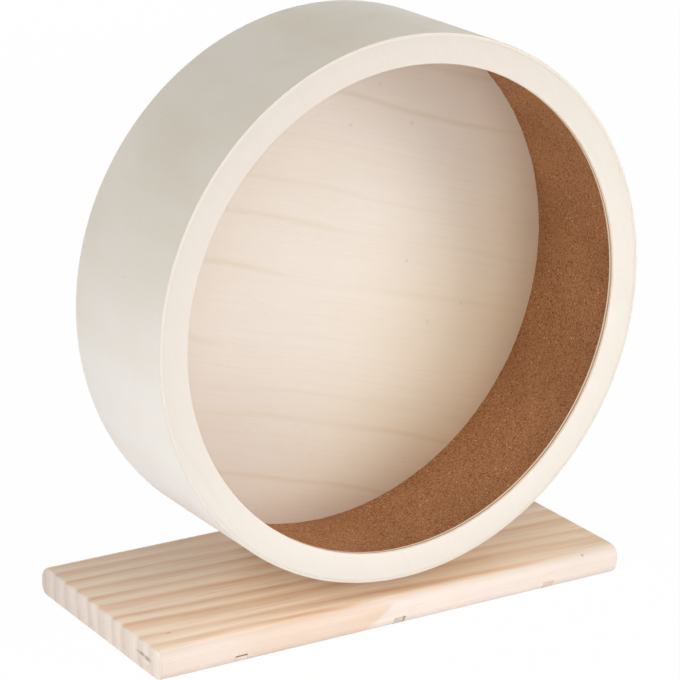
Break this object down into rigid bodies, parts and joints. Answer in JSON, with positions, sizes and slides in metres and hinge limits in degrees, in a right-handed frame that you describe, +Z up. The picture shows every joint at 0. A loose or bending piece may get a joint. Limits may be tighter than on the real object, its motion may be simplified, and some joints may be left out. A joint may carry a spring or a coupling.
{
  "type": "rodent exercise wheel",
  "caption": "Closed wooden drum with a cork running surface, open at the front, that spins on a ball-bearing axle in a rear post on a flat base board.",
  "frame": {"origin": "on the floor, under the middle of the whole object's box", "axes": "+X to the right seen from the open front, -Y out of the open front, +Z up"},
  "size_m": [0.33, 0.1546, 0.363],
  "materials": {
    "plywood": "sanded, unvarnished",
    "bent_wood": "sanded, unvarnished",
    "cork": "granular, matte",
    "pine": "planed, unvarnished",
    "batten_wood": "sawn, unvarnished",
    "zinc_steel": "bright zinc",
    "bearing_steel": "ground and polished",
    "pressed_steel": "pressed, satin",
    "nylon": "matte"
  },
  "bodies": {
    "stand": {"base_board": "pine", "left_batten": "batten_wood", "middle_batten": "batten_wood", "right_batten": "batten_wood", "rear_upright": "pine", "upright_screws": "zinc_steel", "front_outer_race": "bearing_steel", "front_shields": "pressed_steel", "rear_outer_race": "bearing_steel", "rear_shields": "pressed_steel"},
    "wheel": {"front_ring": "plywood", "drum_skin": "bent_wood", "cork_liner": "cork", "back_disc": "plywood", "hub_block": "plywood", "axle_bolt": "zinc_steel", "hub_washer": "zinc_steel", "hub_nut": "zinc_steel", "front_shim": "zinc_steel", "front_inner_race": "bearing_steel", "bearing_spacer": "zinc_steel", "rear_inner_race": "bearing_steel", "rear_washer": "zinc_steel", "lock_nut": "zinc_steel", "lock_nut_insert": "nylon"},
    "front_ball_set": {"front_cage": "pressed_steel", "front_balls": "bearing_steel"},
    "rear_ball_set": {"rear_cage": "pressed_steel", "rear_balls": "bearing_steel"}
  },
  "joints": [
    {"name": "wheel_spin", "type": "hinge", "parent": "stand", "child": "wheel", "pos_m": [0, 0.0227, 0.198], "axis": [0, 1, 0], "continuous": true},
    {"name": "front_cage_spin", "type": "hinge", "parent": "stand", "child": "front_ball_set", "pos_m": [0, 0.0453, 0.198], "axis": [0, 1, 0], "continuous": true},
    {"name": "rear_cage_spin", "type": "hinge", "parent": "stand", "child": "rear_ball_set", "pos_m": [0, 0.0573, 0.198], "axis": [0, 1, 0], "continuous": true}
  ],
  "couplings": [
    {"joint": "front_cage_spin", "follows": "wheel_spin", "ratio": 0.3677},
    {"joint": "rear_cage_spin", "follows": "wheel_spin", "ratio": 0.3677}
  ]
}
